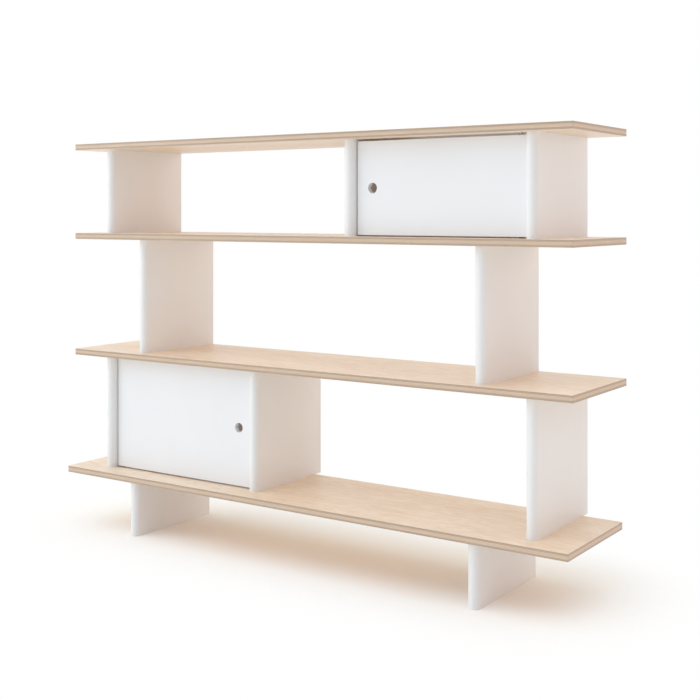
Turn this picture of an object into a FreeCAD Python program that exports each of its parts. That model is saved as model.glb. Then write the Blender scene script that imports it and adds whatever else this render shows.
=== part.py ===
import FreeCAD, Part
import os
from collections import namedtuple

# A long, low bookcase: four plywood boards held apart by white lacquered uprights with
# half-round noses.  The top and lower rows each have one bay closed by a door that turns
# on pivot pins beside the outer upright.  Millimetres, +Z up, X along the boards and -Y
# to the front; the origin lies on the floor at the middle of the overall box.

V = FreeCAD.Vector
X_AXIS = V(1, 0, 0)
Y_AXIS = V(0, 1, 0)
Z_AXIS = V(0, 0, 1)

# ---------------------------------------------------------------- driving dimensions

# Boards
board_length = 1500.0
board_depth = 304.0
board_thickness = 17.0
board_corner_radius = 1.5
board_arris = 0.8

# Clear heights between the boards, and the height of the feet
top_row_height = 232.0
middle_row_height = 308.0
lower_row_height = 308.0
foot_height = 148.0

# The bottom board and the feet stand this far ahead of the boards above
forward_step = 26.0

# Uprights and dividers
upright_thickness = 28.0
upright_front_setback = 23.0
upright_back_round = 2.0
outer_upright_inset = 95.0
inner_upright_inset = 220.0
top_divider_offset = 162.0
lower_divider_offset = -131.0

# Feet
foot_front_setback = 16.0
foot_back_overhang = 9.0

# Doors
door_thickness = 15.0
door_setback = 20.0
door_side_gap = 2.0
door_gap_above = 4.5
door_gap_below = 3.0
door_edge_round = 1.5
finger_hole_diameter = 25.0
finger_hole_inset = 43.0
finger_hole_round = 1.0

# Pivots: steel pins in the boards, flanged bushes in the ends of the doors
pivot_inset = 18.0
pivot_pin_diameter = 5.0
pivot_pin_in_board = 10.0
pivot_pin_in_door = 15.0
pivot_pin_point = 0.8
bush_diameter = 8.0
bush_length = 20.0
bush_flange_diameter = 12.0
upper_bush_flange = 1.0

# Magnetic catches
catch_width = 15.0
catch_height = 42.0
catch_depth = 18.0
catch_drop = 24.0
catch_edge_round = 1.0
magnet_width = 9.0
magnet_height = 18.0
magnet_depth = 7.0
magnet_proud = 0.4
strike_width = 11.0
strike_height = 32.0
strike_thickness = 1.2
screw_diameter = 3.0
screw_head_diameter = 5.6
screw_head_height = 1.8
catch_screw_spacing = 30.0
catch_screw_bite = 10.0
strike_screw_bite = 8.0

# Back panels, let into grooves at their sides and foot, and open above for air and cables
back_panel_thickness = 6.0
back_panel_inset = 12.0
back_panel_groove = 6.0
back_panel_height = 150.0

# Dowels and cam fittings
dowel_diameter = 8.0
dowel_length = 30.0
dowel_in_board = 10.0
dowel_chamfer = 0.8
cam_edge_distance = 70.0
dowel_spacing = 32.0
cam_distance = 34.0
cam_diameter = 15.0
cam_floor = 1.5
cam_cap_thickness = 1.2
bolt_thread_diameter = 5.0
bolt_thread_length = 11.0
bolt_shank_diameter = 6.0
bolt_neck_diameter = 3.5
bolt_neck_length = 4.0
bolt_head_diameter = 6.5
bolt_head_length = 4.0
bolt_bore_diameter = 8.0

# Clearances
running_clearance = 0.3
pin_clearance = 0.05
fitting_clearance = 0.05
panel_clearance = 0.1
panel_end_clearance = 0.5
hole_end_clearance = 1.0

# ---------------------------------------------------------------- levels and planes

overall_depth = board_depth + forward_step
back_plane = overall_depth / 2
front_plane = back_plane - board_depth
bottom_board_front = -overall_depth / 2
bottom_board_back = bottom_board_front + board_depth

bottom_board_base = foot_height
bottom_board_top = bottom_board_base + board_thickness
lower_board_base = bottom_board_top + lower_row_height
lower_board_top = lower_board_base + board_thickness
upper_board_base = lower_board_top + middle_row_height
upper_board_top = upper_board_base + board_thickness
top_board_base = upper_board_top + top_row_height

nose_front = front_plane + upright_front_setback
door_front = nose_front + door_setback
door_back = door_front + door_thickness
pivot_y = (door_front + door_back) / 2

outer_x = board_length / 2 - outer_upright_inset - upright_thickness / 2
inner_x = board_length / 2 - inner_upright_inset - upright_thickness / 2

Board = namedtuple("Board", "name front base")
Upright = namedtuple("Upright", "name x front back bottom top joined_below")
Bay = namedtuple("Bay", "name divider outer hinge_side back_panel_back")

top_board = Board("top_board", front_plane, top_board_base)
upper_board = Board("upper_board", front_plane, upper_board_base)
lower_board = Board("lower_board", front_plane, lower_board_base)
bottom_board = Board("bottom_board", bottom_board_front, bottom_board_base)
boards = [top_board, upper_board, lower_board, bottom_board]


def row_upright(name, x, bottom, top):
    return Upright(name, x, nose_front, back_plane, bottom, top, True)


def foot(name, x):
    front = bottom_board_front + foot_front_setback
    back = bottom_board_back + foot_back_overhang
    return Upright(name, x, front, back, 0.0, foot_height, False)


top_left = row_upright("top_left_upright", -outer_x, upper_board_top, top_board_base)
top_divider = row_upright("top_divider", top_divider_offset, upper_board_top, top_board_base)
top_right = row_upright("top_right_upright", outer_x, upper_board_top, top_board_base)
middle_left = row_upright("middle_left_upright", -inner_x, lower_board_top, upper_board_base)
middle_right = row_upright("middle_right_upright", inner_x, lower_board_top, upper_board_base)
lower_left = row_upright("lower_left_upright", -outer_x, bottom_board_top, lower_board_base)
lower_divider = row_upright("lower_divider", lower_divider_offset, bottom_board_top, lower_board_base)
lower_right = row_upright("lower_right_upright", outer_x, bottom_board_top, lower_board_base)
left_foot = foot("left_foot", -inner_x)
right_foot = foot("right_foot", inner_x)

rows = {
    "top_row": [top_left, top_divider, top_right],
    "middle_row": [middle_left, middle_right],
    "lower_row": [lower_left, lower_divider, lower_right],
    "foot": [left_foot, right_foot],
}
uprights = [upright for row in rows.values() for upright in row]

# A bay's hinge side is +1 when its door hangs on the right and -1 when it hangs on the left
top_bay = Bay("top_door", top_divider, top_right, 1, back_plane - back_panel_inset)
lower_bay = Bay("lower_door", lower_divider, lower_left, -1, bottom_board_back - back_panel_inset)
bays = [top_bay, lower_bay]

# ---------------------------------------------------------------- small helpers


def block(x_ends, y_ends, z_ends):
    x0, x1 = sorted(x_ends)
    y0, y1 = sorted(y_ends)
    z0, z1 = sorted(z_ends)
    return Part.makeBox(x1 - x0, y1 - y0, z1 - z0, V(x0, y0, z0))


def rod(diameter, start, end):
    return Part.makeCylinder(diameter / 2, (end - start).Length, start, end - start)


def edges_along(shape, axis):
    found = []
    for edge in shape.Edges:
        if edge.Curve.TypeId == "Part::GeomLine" and abs(edge.Curve.Direction.dot(axis)) > 0.999:
            found.append(edge)
    return found


def rim_edges(shape, level):
    rim = []
    for edge in shape.Edges:
        limits = edge.BoundBox
        if abs(limits.ZMin - level) < 1e-6 and abs(limits.ZMax - level) < 1e-6:
            rim.append(edge)
    return rim


def drilled(shape, tools):
    return shape.cut(tools) if tools else shape


def save(name, solids):
    pieces = solids if isinstance(solids, list) else [solids]
    shape = pieces[0] if len(pieces) == 1 else Part.makeCompound(pieces)
    shape.exportStep("parts/" + name + ".step")
    print(name, len(shape.Solids), "solids", round(shape.Volume / 1000.0, 2), "cm3")


# ---------------------------------------------------------------- joints between boards and uprights


def joint_planes(upright):
    """Levels where an upright meets a board, each with the way into the upright."""
    planes = [(upright.top, -1)]
    if upright.joined_below:
        planes.append((upright.bottom, 1))
    return planes


def bolt_rows(upright):
    return [upright.front + cam_edge_distance, upright.back - cam_edge_distance]


def dowel_rows(upright):
    front_bolt, back_bolt = bolt_rows(upright)
    return [front_bolt + dowel_spacing, back_bolt - dowel_spacing]


def dowel(x, y, level, inward):
    start = V(x, y, level - inward * dowel_in_board)
    end = start + Z_AXIS * inward * dowel_length
    pin = rod(dowel_diameter, start, end)
    return pin.makeChamfer(dowel_chamfer, pin.Edges[:1] + pin.Edges[2:3])


def dowel_hole(x, y, level, inward):
    diameter = dowel_diameter + 2 * fitting_clearance
    start = V(x, y, level - inward * (dowel_in_board + hole_end_clearance))
    end = start + Z_AXIS * inward * (dowel_length + 2 * hole_end_clearance)
    return rod(diameter, start, end)


def cam_bolt(x, y, level, inward):
    """Thread in the board, shank and neck in the upright, and a head inside the cam."""
    thread_end = V(x, y, level - inward * bolt_thread_length)
    seat = V(x, y, level)
    head_top = V(x, y, level + inward * (cam_distance + bolt_head_length / 2))
    head_base = head_top - Z_AXIS * inward * bolt_head_length
    neck_base = head_base - Z_AXIS * inward * bolt_neck_length
    thread = rod(bolt_thread_diameter, thread_end, seat)
    shank = rod(bolt_shank_diameter, seat, neck_base)
    neck = rod(bolt_neck_diameter, neck_base, head_base)
    head = rod(bolt_head_diameter, head_base, head_top)
    return thread.fuse([shank, neck, head]).removeSplitter()


def bolt_hole_in_board(x, y, level, inward):
    diameter = bolt_thread_diameter + 2 * fitting_clearance
    depth = bolt_thread_length + hole_end_clearance
    return rod(diameter, V(x, y, level), V(x, y, level - inward * depth))


def bolt_bore_in_upright(x, y, level, inward):
    return rod(bolt_bore_diameter, V(x, y, level), V(x, y, level + inward * cam_distance))


def cam_reach():
    """Depth of the cam bore: past the bolt's axis by the head's radius and a thin floor."""
    return upright_thickness / 2 + bolt_head_diameter / 2 + fitting_clearance + cam_floor


def cam_bore(x, y, level, inward):
    left_face = x - upright_thickness / 2
    start = V(left_face, y, level + inward * cam_distance)
    return rod(cam_diameter, start, start + X_AXIS * cam_reach())


def cam(x, y, level, inward):
    """Round housing with a channel that the bolt's head enters from the board's side."""
    left_face = x - upright_thickness / 2
    centre_z = level + inward * cam_distance
    start = V(left_face + cam_cap_thickness, y, centre_z)
    end = V(left_face + cam_reach(), y, centre_z)
    housing = rod(cam_diameter - 2 * fitting_clearance, start, end)
    half = bolt_head_diameter / 2 + fitting_clearance
    far = centre_z + inward * (bolt_head_length / 2 + fitting_clearance)
    channel = block((x - half, x + half), (y - half, y + half), (level, far))
    return housing.cut(channel)


def cam_cap(x, y, level, inward):
    left_face = x - upright_thickness / 2
    start = V(left_face, y, level + inward * cam_distance)
    return rod(cam_diameter - 2 * fitting_clearance, start, start + X_AXIS * cam_cap_thickness)


def at_dowels(upright, make):
    made = []
    for level, inward in joint_planes(upright):
        made += [make(upright.x, y, level, inward) for y in dowel_rows(upright)]
    return made


def at_bolts(upright, make):
    made = []
    for level, inward in joint_planes(upright):
        made += [make(upright.x, y, level, inward) for y in bolt_rows(upright)]
    return made


# ---------------------------------------------------------------- closed bays


def divider_face(bay):
    return bay.divider.x + bay.hinge_side * upright_thickness / 2


def outer_face(bay):
    return bay.outer.x - bay.hinge_side * upright_thickness / 2


def free_edge(bay):
    return divider_face(bay) + bay.hinge_side * door_side_gap


def hinge_edge(bay):
    return outer_face(bay) - bay.hinge_side * door_side_gap


def pivot_x(bay):
    return hinge_edge(bay) - bay.hinge_side * pivot_inset


def door_levels(bay):
    return bay.divider.bottom + door_gap_below, bay.divider.top - door_gap_above


def catch_centre(bay):
    """Middle of the catch's face, where it meets the strike plate on the door's back."""
    x = divider_face(bay) + bay.hinge_side * catch_width / 2
    y = door_back + strike_thickness + running_clearance + magnet_proud
    z = bay.divider.top - catch_drop - catch_height / 2
    return V(x, y, z)


def catch_screw_levels(bay):
    z = catch_centre(bay).z
    return [z - catch_screw_spacing / 2, z + catch_screw_spacing / 2]


def catch_screw_y(bay):
    return catch_centre(bay).y + magnet_depth + (catch_depth - magnet_depth) / 2


def countersunk_screw(head_centre, direction, length):
    """A countersunk screw; its flat head lies at head_centre and its point at the far end."""
    shank = rod(screw_diameter, head_centre, head_centre + direction * length)
    head = Part.makeCone(screw_head_diameter / 2, screw_diameter / 2, screw_head_height, head_centre, direction)
    return shank.fuse(head).removeSplitter()


def screw_hole(head_centre, direction, length):
    shank_diameter = screw_diameter + 2 * fitting_clearance
    head_radius = screw_head_diameter / 2 + fitting_clearance
    depth = length + hole_end_clearance
    shank = rod(shank_diameter, head_centre, head_centre + direction * depth)
    head = Part.makeCone(head_radius, shank_diameter / 2, screw_head_height, head_centre, direction)
    return shank.fuse(head)


def catch_screw_places(bay):
    """Head centre, direction and length of the screws that hold the catch to the divider."""
    face = divider_face(bay) + bay.hinge_side * catch_width
    direction = X_AXIS * -bay.hinge_side
    length = catch_width + catch_screw_bite
    y = catch_screw_y(bay)
    return [(V(face, y, z), direction, length) for z in catch_screw_levels(bay)]


def strike_screw_places(bay):
    """One screw at each end of the strike plate, clear of the magnet's face."""
    centre = catch_centre(bay)
    offset = (strike_height - screw_head_diameter) / 2 - strike_thickness
    head_y = door_back + strike_thickness
    places = []
    for z in (centre.z - offset, centre.z + offset):
        places.append((V(centre.x, head_y, z), Y_AXIS * -1, strike_thickness + strike_screw_bite))
    return places


def catch_housing(bay):
    centre = catch_centre(bay)
    face = divider_face(bay)
    far = face + bay.hinge_side * catch_width
    z_ends = (centre.z - catch_height / 2, centre.z + catch_height / 2)
    housing = block((face, far), (centre.y, centre.y + catch_depth), z_ends)
    housing = housing.makeFillet(catch_edge_round, edges_along(housing, X_AXIS))
    pocket = magnet_block(bay, fitting_clearance)
    screws = [screw_hole(*place) for place in catch_screw_places(bay)]
    return drilled(housing, [pocket] + screws)


def magnet_block(bay, margin):
    centre = catch_centre(bay)
    half_width = magnet_width / 2 + margin
    half_height = magnet_height / 2 + margin
    y_ends = (centre.y - magnet_proud, centre.y + magnet_depth + margin)
    x_ends = (centre.x - half_width, centre.x + half_width)
    return block(x_ends, y_ends, (centre.z - half_height, centre.z + half_height))


def strike_plate(bay):
    centre = catch_centre(bay)
    x_ends = (centre.x - strike_width / 2, centre.x + strike_width / 2)
    z_ends = (centre.z - strike_height / 2, centre.z + strike_height / 2)
    plate = block(x_ends, (door_back, door_back + strike_thickness), z_ends)
    return drilled(plate, [screw_hole(*place) for place in strike_screw_places(bay)])


def pivot_seats(bay):
    """Both pivots of a door: the board's face, the door's end, and the way into the door."""
    door_bottom, door_top = door_levels(bay)
    lower_flange = door_gap_below - running_clearance
    return [(bay.divider.bottom, door_bottom, 1, lower_flange),
            (bay.divider.top, door_top, -1, upper_bush_flange)]


def pivot_pins(bay):
    x = pivot_x(bay)
    pins = []
    for board_face, door_end, inward, flange in pivot_seats(bay):
        start = V(x, pivot_y, board_face - inward * pivot_pin_in_board)
        end = V(x, pivot_y, door_end + inward * pivot_pin_in_door)
        pin = rod(pivot_pin_diameter, start, end)
        pins.append(pin.makeChamfer(pivot_pin_point, pin.Edges[:1] + pin.Edges[2:3]))
    return pins


def pivot_pin_holes(bay):
    x = pivot_x(bay)
    diameter = pivot_pin_diameter + 2 * fitting_clearance
    depth = pivot_pin_in_board + hole_end_clearance
    holes = []
    for board_face, door_end, inward, flange in pivot_seats(bay):
        holes.append(rod(diameter, V(x, pivot_y, board_face), V(x, pivot_y, board_face - inward * depth)))
    return holes


def pivot_bushes(bay):
    """Flanged bushes, bored through, so that a door turns and rests on nylon."""
    x = pivot_x(bay)
    bushes = []
    for board_face, door_end, inward, flange in pivot_seats(bay):
        mouth = V(x, pivot_y, door_end - inward * flange)
        seat = V(x, pivot_y, door_end)
        inner_end = seat + Z_AXIS * inward * bush_length
        body = rod(bush_diameter, seat, inner_end).fuse(rod(bush_flange_diameter, mouth, seat))
        bore = rod(pivot_pin_diameter + 2 * pin_clearance, mouth, inner_end)
        bushes.append(body.removeSplitter().cut(bore))
    return bushes


def bush_holes(bay):
    x = pivot_x(bay)
    diameter = bush_diameter + 2 * fitting_clearance
    depth = bush_length + hole_end_clearance
    holes = []
    for board_face, door_end, inward, flange in pivot_seats(bay):
        holes.append(rod(diameter, V(x, pivot_y, door_end), V(x, pivot_y, door_end + inward * depth)))
    return holes


def door(bay):
    """The leaf, with softened edges, a finger hole near its free edge and bushes' holes."""
    bottom, top = door_levels(bay)
    leaf = block((free_edge(bay), hinge_edge(bay)), (door_front, door_back), (bottom, top))
    leaf = leaf.makeFillet(door_edge_round, leaf.Edges)
    hole_x = free_edge(bay) + bay.hinge_side * finger_hole_inset
    hole_z = (bottom + top) / 2
    hole = rod(finger_hole_diameter, V(hole_x, door_front, hole_z), V(hole_x, door_back, hole_z))
    leaf = leaf.cut(hole)
    rims = [edge for edge in leaf.Edges if is_finger_rim(edge)]
    leaf = leaf.makeFillet(finger_hole_round, rims)
    screws = [screw_hole(*place) for place in strike_screw_places(bay)]
    return drilled(leaf, bush_holes(bay) + screws)


def is_finger_rim(edge):
    limits = edge.BoundBox
    return limits.YLength < 0.01 and abs(limits.ZLength - finger_hole_diameter) < 0.01


def back_panel_space(bay, margin, reach):
    """The back panel's block, let in by reach at its sides and foot, and larger by margin elsewhere."""
    side = bay.hinge_side
    x_ends = (divider_face(bay) - side * reach, outer_face(bay) + side * reach)
    y_ends = (bay.back_panel_back - back_panel_thickness - margin, bay.back_panel_back + margin)
    z_ends = (bay.divider.bottom - reach, bay.divider.bottom + back_panel_height + margin)
    return block(x_ends, y_ends, z_ends)


def back_panel(bay):
    return back_panel_space(bay, 0.0, back_panel_groove - panel_end_clearance)


def back_panel_grooves(bay):
    return back_panel_space(bay, panel_clearance, back_panel_groove)


# ---------------------------------------------------------------- boards and uprights


def make_board(board):
    x_ends = (-board_length / 2, board_length / 2)
    y_ends = (board.front, board.front + board_depth)
    top = board.base + board_thickness
    slab = block(x_ends, y_ends, (board.base, top))
    slab = slab.makeFillet(board_corner_radius, edges_along(slab, Z_AXIS))
    slab = slab.makeFillet(board_arris, rim_edges(slab, board.base) + rim_edges(slab, top))
    tools = []
    for upright in uprights:
        if touches(board, upright):
            tools += at_dowels(upright, dowel_hole)
            tools += at_bolts(upright, bolt_hole_in_board)
    for bay in bays:
        if touches(board, bay.divider):
            tools.append(back_panel_grooves(bay))
            tools += pivot_pin_holes(bay)
    return drilled(slab, [tool for tool in tools if reaches(tool, board)])


def touches(board, upright):
    meets_above = abs(upright.bottom - board.base - board_thickness) < 1e-6
    meets_below = abs(upright.top - board.base) < 1e-6
    return meets_above or meets_below


def reaches(tool, board):
    limits = tool.BoundBox
    return limits.ZMin < board.base + board_thickness and limits.ZMax > board.base


def upright_blank(upright):
    """A flat upright whose front edge is a half-round of the full thickness."""
    half = upright_thickness / 2
    left, right = upright.x - half, upright.x + half
    shoulder = upright.front + half
    low = upright.bottom
    corners = [V(left, shoulder, low), V(left, upright.back, low),
               V(right, upright.back, low), V(right, shoulder, low)]
    nose = Part.Arc(corners[3], V(upright.x, upright.front, low), corners[0]).toShape()
    sides = [Part.makeLine(corners[i], corners[i + 1]) for i in range(3)]
    outline = Part.Face(Part.Wire(sides + [nose]))
    blank = outline.extrude(V(0, 0, upright.top - low))
    back_edges = [edge for edge in edges_along(blank, Z_AXIS) if edge.BoundBox.YMin > upright.back - 1e-6]
    return blank.makeFillet(upright_back_round, back_edges)


def make_upright(upright):
    tools = at_dowels(upright, dowel_hole)
    tools += at_bolts(upright, bolt_bore_in_upright)
    tools += at_bolts(upright, cam_bore)
    for bay in bays:
        if upright in (bay.divider, bay.outer):
            tools.append(back_panel_grooves(bay))
        if upright is bay.divider:
            tools += [screw_hole(*place) for place in catch_screw_places(bay)]
    return drilled(upright_blank(upright), tools)


# ---------------------------------------------------------------- writing the pieces

os.makedirs("parts", exist_ok=True)

for board in boards:
    save(board.name, make_board(board))

for upright in uprights:
    save(upright.name, make_upright(upright))

for row_name, row in rows.items():
    save(row_name + "_dowels", [piece for upright in row for piece in at_dowels(upright, dowel)])
    save(row_name + "_cam_bolts", [piece for upright in row for piece in at_bolts(upright, cam_bolt)])
    save(row_name + "_cams", [piece for upright in row for piece in at_bolts(upright, cam)])
    save(row_name + "_cam_caps", [piece for upright in row for piece in at_bolts(upright, cam_cap)])

for bay in bays:
    save(bay.name, door(bay))
    save(bay.name + "_pivot_pins", pivot_pins(bay))
    save(bay.name + "_bushes", pivot_bushes(bay))
    save(bay.name + "_catch", catch_housing(bay))
    save(bay.name + "_catch_magnet", magnet_block(bay, 0.0))
    save(bay.name + "_catch_screws", [countersunk_screw(*place) for place in catch_screw_places(bay)])
    save(bay.name + "_strike_plate", strike_plate(bay))
    save(bay.name + "_strike_screws", [countersunk_screw(*place) for place in strike_screw_places(bay)])
    save(bay.name.replace("door", "back_panel"), back_panel(bay))
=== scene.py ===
import math

import bpy
import numpy as np
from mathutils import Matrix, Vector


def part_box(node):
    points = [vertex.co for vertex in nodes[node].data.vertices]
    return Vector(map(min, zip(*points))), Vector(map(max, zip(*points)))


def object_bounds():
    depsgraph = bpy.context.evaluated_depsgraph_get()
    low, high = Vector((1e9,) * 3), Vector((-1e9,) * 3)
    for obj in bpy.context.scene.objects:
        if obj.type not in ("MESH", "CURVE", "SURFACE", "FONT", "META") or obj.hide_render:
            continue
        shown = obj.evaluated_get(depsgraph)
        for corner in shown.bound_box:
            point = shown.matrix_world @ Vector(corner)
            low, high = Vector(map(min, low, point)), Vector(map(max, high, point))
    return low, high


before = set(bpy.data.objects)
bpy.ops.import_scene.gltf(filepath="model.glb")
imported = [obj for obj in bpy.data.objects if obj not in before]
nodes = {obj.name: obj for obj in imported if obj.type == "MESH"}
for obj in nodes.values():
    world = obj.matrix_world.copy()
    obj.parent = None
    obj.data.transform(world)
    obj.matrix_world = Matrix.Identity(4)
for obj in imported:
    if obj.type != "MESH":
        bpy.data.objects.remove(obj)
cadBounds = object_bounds()
lowest, highest = ([round(v, 3) for v in corner] for corner in cadBounds)
print("frame:", len(nodes), "nodes, box", lowest, highest)


cameraSettings = {
    "place": (1.7345, -2.4068, 0.8705),
    "turn": 34.325,       # degrees to the left of straight ahead
    "lens": 59.83,
    "sensor": 36,
    "shiftDown": 0.1955,  # the camera is level, and its frame is slid down
    "farEnd": 60,
}


def makeCamera(s):
    data = bpy.data.cameras.new("camera")
    data.lens = s["lens"]
    data.sensor_width = s["sensor"]
    data.shift_y = -s["shiftDown"]
    data.clip_end = s["farEnd"]
    cam = bpy.data.objects.new("camera", data)
    cam.location = s["place"]
    cam.rotation_euler = (math.radians(90), 0, math.radians(s["turn"]))
    bpy.context.scene.collection.objects.link(cam)
    bpy.context.scene.camera = cam


makeCamera(cameraSettings)
print("camera: set")


# nearly all of a noise's values lie in the first span, and most of them in the second
noiseSpan = (0.3, 0.7)
middleSpan = (0.35, 0.65)


def newMaterial(name):
    mat = bpy.data.materials.new(name)
    mat.use_nodes = True
    tree = mat.node_tree
    tree.nodes.clear()
    out = tree.nodes.new("ShaderNodeOutputMaterial")
    shader = tree.nodes.new("ShaderNodeBsdfPrincipled")
    tree.links.new(shader.outputs[0], out.inputs[0])
    return mat, tree, shader


# a link where the value is a socket, and the socket's own value where it is a number or colour
def put(tree, value, socket):
    if isinstance(value, bpy.types.NodeSocket):
        tree.links.new(value, socket)
    else:
        socket.default_value = value


# each of the next five functions adds its nodes and returns the socket that goes on
def objectPlace(tree, move=(0, 0, 0), stretch=(1, 1, 1)):
    coords = tree.nodes.new("ShaderNodeTexCoord")
    mapping = tree.nodes.new("ShaderNodeMapping")
    mapping.inputs["Location"].default_value = move
    mapping.inputs["Scale"].default_value = stretch
    tree.links.new(coords.outputs["Object"], mapping.inputs["Vector"])
    return mapping.outputs["Vector"]


# shift is the share of the seed that moves the noise along each axis
def noise(tree, seed, shift=(0, 0, 0), stretch=(1, 1, 1), scale=1.0, detail=2.0, rough=0.5, bend=0.0):
    move = tuple(seed * share for share in shift)
    node = tree.nodes.new("ShaderNodeTexNoise")
    tree.links.new(objectPlace(tree, move, stretch), node.inputs["Vector"])
    for name, number in (("Scale", scale), ("Detail", detail), ("Roughness", rough), ("Distortion", bend)):
        node.inputs[name].default_value = number
    return node.outputs["Fac"]


def sums(tree, kind, first, second=0.0, third=0.0):
    node = tree.nodes.new("ShaderNodeMath")
    node.operation = kind
    for value, socket in zip((first, second, third), node.inputs):
        put(tree, value, socket)
    return node.outputs[0]


def fromTo(tree, value, low, high, newLow=0.0, newHigh=1.0):
    node = tree.nodes.new("ShaderNodeMapRange")
    put(tree, value, node.inputs["Value"])
    for name, number in (("From Min", low), ("From Max", high), ("To Min", newLow), ("To Max", newHigh)):
        node.inputs[name].default_value = number
    return node.outputs["Result"]


def blendColour(tree, share, first, second, kind="MIX"):
    node = tree.nodes.new("ShaderNodeMix")
    node.data_type = "RGBA"
    node.blend_type = kind
    put(tree, share, node.inputs[0])
    for colour, socket in ((first, node.inputs[6]), (second, node.inputs[7])):
        put(tree, colour if isinstance(colour, bpy.types.NodeSocket) else (*colour, 1), socket)
    return node.outputs[2]


# a bump from the height, straight into the shader
def bumped(tree, shader, height, depth, strength):
    node = tree.nodes.new("ShaderNodeBump")
    node.inputs["Distance"].default_value = depth
    node.inputs["Strength"].default_value = strength
    tree.links.new(height, node.inputs["Height"])
    tree.links.new(node.outputs["Normal"], shader.inputs["Normal"])


# the named pieces get this material alone
def dress(mat, *names):
    for name in names:
        slots = nodes[name].data.materials
        slots.clear()
        slots.append(mat)


plywoodLook = {
    "plies": 13,
    "veneer": (0.896, 0.752, 0.600),      # face veneer, between its two tones
    "veneerDark": (0.790, 0.597, 0.430),
    "fleck": (0.48, 0.35, 0.25),
    "middleEdge": (0.815, 0.650, 0.495),  # the edge is lighter at the middle plies
    "outerEdge": (0.60, 0.455, 0.345),    # than at the ones near the faces
    "acrossShade": (0.80, 0.77, 0.74),    # a ply cut across its grain, as a share of one cut along it
    "glue": (0.34, 0.235, 0.155),
    "veneerShare": 0.3,                   # of the outermost ply, the part that shows as face
    "waverHeight": 0.16,                  # how far a ply wanders up and down, in plies
    "endMargin": 0.0003,                  # what lies this near an end is a short edge
    # noises
    "waver": {"shift": (1, 0, 0), "stretch": (6, 6, 0)},
    "flames": {"shift": (1, 0.7, 0), "stretch": (3.2, 13, 9), "detail": 5.0, "rough": 0.62, "bend": 0.6},
    "mottle": {"shift": (0, 0, 1), "stretch": (22, 66, 66), "detail": 3.0, "rough": 0.6},
    "streaks": {"shift": (0, 1, 1), "stretch": (30, 200, 200), "detail": 4.0, "rough": 0.65},
    "fibre": {"shift": (1, 0, 0), "stretch": (14, 420, 420), "detail": 3.0, "rough": 0.65},
    "flecks": {"shift": (0, 1, 0), "stretch": (95, 1300, 1300), "detail": 1.0},
    "endGrain": {"shift": (1, 0, 0), "scale": 1600.0, "rough": 0.7},
    "weights": (0.8, 0.3, 1.9),           # of mottle, fibre and streaks, beside the flames' 1
    # blends: from and to which value, and with which shares of the second tone
    "figureBlend": (1.68, 2.32),
    "fleckBlend": (0.64, 0.80, 0.0, 0.35),
    "edgeBlend": (0.14, 0.26),            # distance from the middle, as a share of the thickness
    "endGrainBlend": (0.25, 0.65, 0.5, 1.0),
    "fibreBlend": (0.35, 0.70, 0.0, 0.5),
    "plyBlend": (0.0, 1.0, 0.0, 0.5),
    "glueBlend": (0.42, 0.49, 0.0, 0.7),
    "roughness": (0.31, 0.44),
    "fleckDepth": -0.6,                   # beside the fibre's height of 1
    "bump": (0.00005, 0.8),               # depth and strength
}


# Veneer: four stretched noises are added up, for flames, mottle, fibre and streaks, and the sum
# blends two tones; short flecks are laid over it.
def veneerTone(tree, seed, fibre, flecks):
    s = plywoodLook
    figure = noise(tree, seed, **s["flames"])
    mottle = noise(tree, seed, **s["mottle"])
    streaks = noise(tree, seed, **s["streaks"])
    for part, weight in zip((mottle, fibre, streaks), s["weights"]):
        figure = sums(tree, "MULTIPLY_ADD", part, weight, figure)
    tone = blendColour(tree, fromTo(tree, figure, *s["figureBlend"]), s["veneer"], s["veneerDark"])
    return blendColour(tree, fromTo(tree, flecks, *s["fleckBlend"]), tone, s["fleck"])


# Plies: the height within the board, counted in plies, wavers a little and is rounded down, which
# gives the ply. Odd plies lie across, and on the two short edges the odd and even ones change
# places. The edge is lighter in the middle, each ply has a tone of its own, those that lie across
# show their end grain, and a line of glue runs where one ply meets the next.
def edgeTone(tree, seed, fibre, height, offMiddle, shortEdge):
    s = plywoodLook
    waver = noise(tree, seed, **s["waver"])
    start = sums(tree, "SUBTRACT", height, s["waverHeight"] / 2)
    inner = sums(tree, "MULTIPLY_ADD", waver, s["waverHeight"], start)
    ply = sums(tree, "FLOOR", inner)
    odd = sums(tree, "MODULO", sums(tree, "ADD", ply, 2.0), 2.0)
    across = sums(tree, "ABSOLUTE", sums(tree, "SUBTRACT", odd, shortEdge))

    outerShare = fromTo(tree, offMiddle, *[s["plies"] * share for share in s["edgeBlend"]])
    edge = blendColour(tree, outerShare, s["middleEdge"], s["outerEdge"])
    endGrain = fromTo(tree, noise(tree, seed, **s["endGrain"]), *s["endGrainBlend"])
    plyTone = tree.nodes.new("ShaderNodeTexWhiteNoise")
    plyTone.noise_dimensions = "1D"
    tree.links.new(sums(tree, "ADD", ply, seed), plyTone.inputs["W"])
    shades = (
        sums(tree, "MULTIPLY", across, endGrain),
        fromTo(tree, fibre, *s["fibreBlend"]),
        fromTo(tree, plyTone.outputs["Value"], *s["plyBlend"]),
    )
    for share in shades:
        edge = blendColour(tree, share, edge, s["acrossShade"], "MULTIPLY")
    joint = sums(tree, "ABSOLUTE", sums(tree, "SUBTRACT", sums(tree, "FRACT", inner), 0.5))
    return blendColour(tree, fromTo(tree, joint, *s["glueBlend"]), edge, s["glue"])


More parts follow.
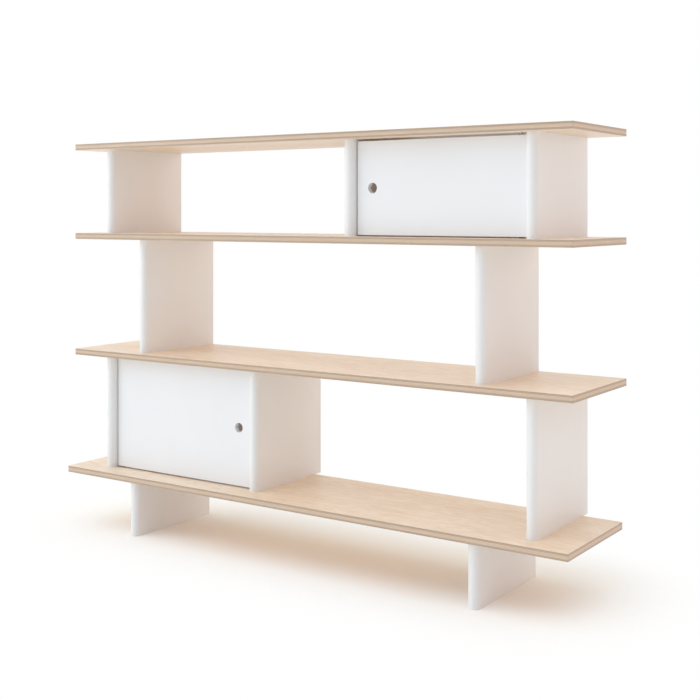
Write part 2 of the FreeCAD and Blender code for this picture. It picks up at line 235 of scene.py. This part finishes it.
# The outermost ply shows as veneer on the faces, and the rest as edge.
def birchPlywood(name, seed):
    s = plywoodLook
    low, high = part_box(name)
    thick = high.z - low.z
    half = (high.x - low.x) / 2
    mat, tree, shader = newMaterial("plywood_" + name)

    place = tree.nodes.new("ShaderNodeSeparateXYZ")
    tree.links.new(objectPlace(tree), place.inputs[0])
    height = sums(tree, "MULTIPLY_ADD", place.outputs["Z"], s["plies"] / thick, -low.z * s["plies"] / thick)
    offMiddle = sums(tree, "ABSOLUTE", sums(tree, "SUBTRACT", height, s["plies"] / 2))
    face = sums(tree, "GREATER_THAN", offMiddle, s["plies"] / 2 - s["veneerShare"])
    sideways = sums(tree, "ABSOLUTE", place.outputs["X"])
    shortEdge = sums(tree, "GREATER_THAN", sideways, half - s["endMargin"])

    fibre = noise(tree, seed, **s["fibre"])
    flecks = noise(tree, seed, **s["flecks"])
    veneer = veneerTone(tree, seed, fibre, flecks)
    edge = edgeTone(tree, seed, fibre, height, offMiddle, shortEdge)
    put(tree, blendColour(tree, face, edge, veneer), shader.inputs["Base Color"])
    put(tree, fromTo(tree, fibre, *noiseSpan, *s["roughness"]), shader.inputs["Roughness"])
    bumped(tree, shader, sums(tree, "MULTIPLY_ADD", flecks, s["fleckDepth"], fibre), *s["bump"])
    return mat


boardSeeds = {"top_board": 3.7, "upper_board": 9.0, "lower_board": 14.3, "bottom_board": 19.6}
for name, seed in boardSeeds.items():
    dress(birchPlywood(name, seed), name)
print("plywood:", len(boardSeeds), "boards")


lacquerLook = {
    "uprights": {"white": (0.870, 0.870, 0.870), "shade": (0.852, 0.851, 0.849), "roughness": (0.37, 0.45)},
    "doors": {"white": (0.890, 0.896, 0.912), "shade": (0.876, 0.882, 0.898), "roughness": (0.35, 0.43)},
    "panels": {"white": (0.870, 0.870, 0.865), "shade": (0.850, 0.850, 0.845), "roughness": (0.47, 0.55)},
    "dustTone": (0.62, 0.59, 0.55),
    "drift": {"shift": (1, 0, 0), "scale": 5.0, "detail": 3.0, "bend": 0.4},
    "peel": {"shift": (0, 1, 0), "scale": 420.0},
    "dust": {"shift": (0, 0, 1), "scale": 1500.0, "detail": 1.0},
    "dustBlend": (0.70, 0.80, 0.0, 0.10),
    "dustHeight": 0.15,  # beside the peel's height of 1
    "bump": (0.00006, 0.5),
}
uprightNames = sorted(n for n in nodes if n.endswith(("_upright", "_divider", "_foot")))
# coat: the pieces that have it, the first one's seed, and the step from one seed to the next
lacquered = {
    "uprights": (uprightNames, 0, 1.9),
    "doors": (("top_door", "lower_door"), 31, 2.3),
    "panels": (("top_back_panel", "lower_back_panel"), 47, 2.3),
}


# Sprayed lacquer: a broad slow drift between two tones, specks of dust, and a fine orange peel that
# ripples the gloss.
def whiteLacquer(name, coat, seed):
    s = lacquerLook
    mat, tree, shader = newMaterial("lacquer_" + name)
    drift = noise(tree, seed, **s["drift"])
    peel = noise(tree, seed, **s["peel"])
    dust = noise(tree, seed, **s["dust"])
    tone = blendColour(tree, fromTo(tree, drift, *middleSpan), s[coat]["white"], s[coat]["shade"])
    tone = blendColour(tree, fromTo(tree, dust, *s["dustBlend"]), tone, s["dustTone"])
    put(tree, tone, shader.inputs["Base Color"])
    put(tree, fromTo(tree, drift, *noiseSpan, *s[coat]["roughness"]), shader.inputs["Roughness"])
    bumped(tree, shader, sums(tree, "MULTIPLY_ADD", dust, s["dustHeight"], peel), *s["bump"])
    return mat


for coat, (names, firstSeed, step) in lacquered.items():
    for count, name in enumerate(names):
        dress(whiteLacquer(name, coat, firstSeed + step * count), name)
    print("lacquer:", len(names), coat)


# moulded or cast: a mottle between two tones, and a fine grain in the gloss
mouldedLook = {
    "plastic": {"tones": ((0.84, 0.84, 0.83), (0.80, 0.80, 0.79)), "roughness": (0.39, 0.54), "metal": 0},
    "nylon": {"tones": ((0.035, 0.034, 0.034), (0.05, 0.048, 0.047)), "roughness": (0.35, 0.50), "metal": 0},
    "castZinc": {"tones": ((0.52, 0.53, 0.55), (0.42, 0.43, 0.45)), "roughness": (0.43, 0.58), "metal": 1},
    "ferrite": {"tones": ((0.055, 0.055, 0.06), (0.085, 0.083, 0.08)), "roughness": (0.38, 0.53), "metal": 0},
}
mouldedSurface = {
    "mottle": {"scale": 90.0, "detail": 4.0, "rough": 0.6},
    "grain": {"scale": 2400.0, "rough": 0.6},
    "bump": (0.00003, 0.4),
}
# turned and zinc-plated: a cloudy plating, and fine rings up the piece's height
zincSteelLook = {"tones": ((0.66, 0.67, 0.69), (0.52, 0.53, 0.56)), "roughness": (0.22, 0.40), "metal": 1}
turnedSurface = {
    "mottle": {"scale": 260.0, "detail": 3.0, "rough": 0.6},
    "grain": {"stretch": (60, 60, 4200)},
    "bump": (0.00002, 0.4),
}


# Fittings: one noise blends two tones, and a finer one sets the roughness and the bump.
def fitting(name, look, surface):
    mat, tree, shader = newMaterial("fitting_" + name)
    mottle = noise(tree, 0, **surface["mottle"])
    grain = noise(tree, 0, **surface["grain"])
    tone = blendColour(tree, fromTo(tree, mottle, *middleSpan), *look["tones"])
    put(tree, tone, shader.inputs["Base Color"])
    put(tree, fromTo(tree, grain, *noiseSpan, *look["roughness"]), shader.inputs["Roughness"])
    shader.inputs["Metallic"].default_value = look["metal"]
    bumped(tree, shader, grain, *surface["bump"])
    return mat


beechLook = {
    "tones": ((0.62, 0.42, 0.26), (0.54, 0.34, 0.19)),
    "fleck": (0.36, 0.20, 0.11),
    "fibre": {"stretch": (900, 900, 40), "detail": 3.0, "rough": 0.6},
    "flecks": {"stretch": (1400, 1400, 220), "detail": 1.0},
    "fleckBlend": (0.62, 0.75, 0.0, 0.6),
    "roughness": (0.58, 0.72),
    "bump": (0.00006, 0.6),
}


# Dowels: pale reddish wood with fibre along the dowel and short darker flecks.
def beech(s):
    mat, tree, shader = newMaterial("fitting_beech")
    fibre = noise(tree, 0, **s["fibre"])
    flecks = noise(tree, 0, **s["flecks"])
    tone = blendColour(tree, fromTo(tree, fibre, *noiseSpan), *s["tones"])
    tone = blendColour(tree, fromTo(tree, flecks, *s["fleckBlend"]), tone, s["fleck"])
    put(tree, tone, shader.inputs["Base Color"])
    put(tree, fromTo(tree, fibre, *noiseSpan, *s["roughness"]), shader.inputs["Roughness"])
    bumped(tree, shader, fibre, *s["bump"])
    return mat


finishes = {name: fitting(name, look, mouldedSurface) for name, look in mouldedLook.items()}
finishes["zincSteel"] = fitting("zincSteel", zincSteelLook, turnedSurface)
finishes["beech"] = beech(beechLook)
# finish: how the names of the pieces end that have it
finishEndings = {
    "plastic": ("_cam_caps", "_catch"),
    "nylon": ("_bushes",),
    "castZinc": ("_cams",),
    "ferrite": ("_catch_magnet",),
    "zincSteel": ("_cam_bolts", "_pivot_pins", "_catch_screws", "_strike_plate", "_strike_screws"),
    "beech": ("_dowels",),
}
for finish, endings in finishEndings.items():
    dress(finishes[finish], *[n for n in nodes if n.endswith(endings)])
print("fittings:", len(finishes), "finishes")


# 1 for what the camera sees, straight, in a gloss or through glass, and 0 for the light on things
def seenShare(tree):
    rays = tree.nodes.new("ShaderNodeLightPath")
    glossOrGlass = sums(tree, "MAXIMUM", rays.outputs["Is Glossy Ray"], rays.outputs["Is Transmission Ray"])
    return sums(tree, "MAXIMUM", rays.outputs["Is Camera Ray"], glossOrGlass)


def mixShaders(tree, share, first, second, out):
    mix = tree.nodes.new("ShaderNodeMixShader")
    for value, socket in zip((share, first.outputs[0], second.outputs[0]), mix.inputs):
        put(tree, value, socket)
    tree.links.new(mix.outputs[0], out.inputs[0])


floorSettings = {
    "radius": 9.0,
    "rings": 24,
    "spokes": 96,
    "tone": (0.99, 0.98, 0.97),
    # painted shade: the warm tone of the shadow under the boards, painted into the floor's colour
    "paintedShadeUnderBoards": (0.96, 0.895, 0.83),
    "roughness": 0.8,
    "gloss": 0.2,
    "mottle": {"scale": 2.0},
    "mottleBlend": (0.4, 0.6, 0.0, 0.01),
    # plans: middle, half size and reach
    "paintedShadePlan": ((0, 0), (0.50, 0.0), 0.26),              # past this the floor loses its painted warm shade
    "shadowPlan": ((-0.02, 0.044), (0.60, 0.057), 0.38),  # past this the camera sees plain white
    "shadowShare": 0.98,
}


# Distance outside a rectangle on the floor: the length of max(|x - middle| - half, 0), turned
# into a soft 0 to 1 over the reach.
def outsidePlan(tree, middle, half, reach):
    place = objectPlace(tree, (-middle[0], -middle[1], 0), (1, 1, 0))
    steps = (("ABSOLUTE", None), ("SUBTRACT", (*half, 0)), ("MAXIMUM", (0, 0, 0)), ("LENGTH", None))
    for kind, other in steps:
        step = tree.nodes.new("ShaderNodeVectorMath")
        step.operation = kind
        tree.links.new(place, step.inputs[0])
        if other:
            step.inputs[1].default_value = other
        place = step.outputs["Value" if kind == "LENGTH" else "Vector"]
    fade = tree.nodes.new("ShaderNodeMapRange")
    fade.interpolation_type = "SMOOTHSTEP"
    fade.inputs["From Max"].default_value = reach
    tree.links.new(place, fade.inputs["Value"])
    return fade.outputs["Result"]


# A disc: a polar grid, with each ring's radius growing as the square of its number.
def floorMesh(radius, rings, spokes):
    r = radius * (np.arange(1, rings + 1) / rings) ** 2
    a = np.linspace(0, 2 * np.pi, spokes, endpoint=False)
    grid = np.stack([np.outer(r, np.cos(a)), np.outer(r, np.sin(a)), np.zeros((rings, spokes))], -1)
    points = np.concatenate([[[0, 0, 0]], grid.reshape(-1, 3)])
    here = np.arange(spokes)
    beside = (here + 1) % spokes
    centre = np.stack([np.zeros(spokes, int), 1 + here, 1 + beside], -1)
    base = 1 + spokes * np.arange(rings - 1)[:, None]
    corners = [base + here, base + spokes + here, base + spokes + beside, base + beside]
    quads = np.stack(corners, -1).reshape(-1, 4)
    mesh = bpy.data.meshes.new("floor")
    mesh.from_pydata(points.tolist(), [], centre.tolist() + quads.tolist())
    return mesh


# Floor paint: a warm patch of painted shade under the boards, where the shadow lies, a faint
# mottle, and plain white for the camera past the shadow.
def floorPaint(s):
    mat, tree, shader = newMaterial("floor")
    shader.inputs["Roughness"].default_value = s["roughness"]
    shader.inputs["Specular IOR Level"].default_value = s["gloss"]
    # painted shade: the floor's tone turns warm under the boards, where the shadow falls
    tone = blendColour(tree, outsidePlan(tree, *s["paintedShadePlan"]), s["paintedShadeUnderBoards"], s["tone"])
    mottle = fromTo(tree, noise(tree, 0, **s["mottle"]), *s["mottleBlend"])
    put(tree, blendColour(tree, mottle, tone, (0, 0, 0)), shader.inputs["Base Color"])
    whiteShare = fromTo(tree, outsidePlan(tree, *s["shadowPlan"]), 0, 1, 1 - s["shadowShare"], 1)
    white = tree.nodes.new("ShaderNodeEmission")
    share = sums(tree, "MULTIPLY", seenShare(tree), whiteShare)
    mixShaders(tree, share, shader, white, tree.nodes["Material Output"])
    return mat


def makeFloor(s):
    mesh = floorMesh(s["radius"], s["rings"], s["spokes"])
    mesh.materials.append(floorPaint(s))
    floor = bpy.data.objects.new("floor", mesh)
    bpy.context.scene.collection.objects.link(floor)


makeFloor(floorSettings)
print("stage: floor")


lampSettings = {
    # name: place, target, width, power, tint
    "left": ((-3.4, -2.2, 1.9), (0, 0, 0.5), 2.2, 21.9, (0.93, 0.98, 1.0)),
    "overhead": ((0.2, -0.4, 3.6), (0, 0, 0.5), 3.2, 8.0, (0.97, 0.99, 1.0)),
}


def makeLamps(s):
    for name, (place, target, width, power, tint) in s.items():
        data = bpy.data.lights.new(name, "AREA")
        data.shape = "DISK"
        data.size = width
        data.energy = power
        data.color = tint
        lamp = bpy.data.objects.new(name, data)
        lamp.location = place
        lamp.visible_camera = False
        aim = np.array(target) - np.array(place)
        flat = math.hypot(aim[0], aim[1])
        lamp.rotation_euler = (math.atan2(flat, -aim[2]), 0, math.atan2(aim[1], aim[0]) - math.pi / 2)
        bpy.context.scene.collection.objects.link(lamp)


makeLamps(lampSettings)
print("stage: lamps")


surroundSettings = {
    "mean": (0.829, 0.667, 0.642),
    # what is added to the right, to the back and upwards, and taken off the other way
    "toRight": (0.067, 0.028, 0.012),
    "toBack": (0.313, 0.083, -0.009),
    "upwards": (0.215, 0.462, 0.453),
    # corners is added at the front left and the back right, and taken off at the other two,
    # and rightAndUp and backAndUp work the same way in the two upright planes
    "corners": (1.087, 0.968, 0.948),
    "rightAndUp": (-0.448, -0.513, -0.481),
    "backAndUp": (-0.660, -0.436, -0.510),
}


# The surround's colour is its mean plus x, y and z of the direction and the three products of
# two of them, each times a colour of its own. The camera sees white instead.
def makeWorld(s):
    world = bpy.data.worlds.new("studio")
    bpy.context.scene.world = world
    world.use_nodes = True
    tree = world.node_tree
    tree.nodes.clear()
    out = tree.nodes.new("ShaderNodeOutputWorld")
    coords = tree.nodes.new("ShaderNodeTexCoord")
    parts = tree.nodes.new("ShaderNodeSeparateXYZ")
    tree.links.new(coords.outputs["Generated"], parts.inputs[0])
    x, y, z = parts.outputs
    amounts = {
        "toRight": x,
        "toBack": y,
        "upwards": z,
        "corners": sums(tree, "MULTIPLY", x, y),
        "rightAndUp": sums(tree, "MULTIPLY", x, z),
        "backAndUp": sums(tree, "MULTIPLY", y, z),
    }
    colour = s["mean"]
    for key, amount in amounts.items():
        slope = tree.nodes.new("ShaderNodeVectorMath")
        slope.operation = "MULTIPLY_ADD"
        for value, socket in zip((amount, s[key], colour), slope.inputs):
            put(tree, value, socket)
        colour = slope.outputs[0]
    light = tree.nodes.new("ShaderNodeBackground")
    tree.links.new(colour, light.inputs["Color"])
    white = tree.nodes.new("ShaderNodeBackground")
    white.inputs["Color"].default_value = (1, 1, 1, 1)
    mixShaders(tree, seenShare(tree), light, white, out)


makeWorld(surroundSettings)
bpy.context.scene.view_settings.view_transform = "Standard"
print("stage: surround")
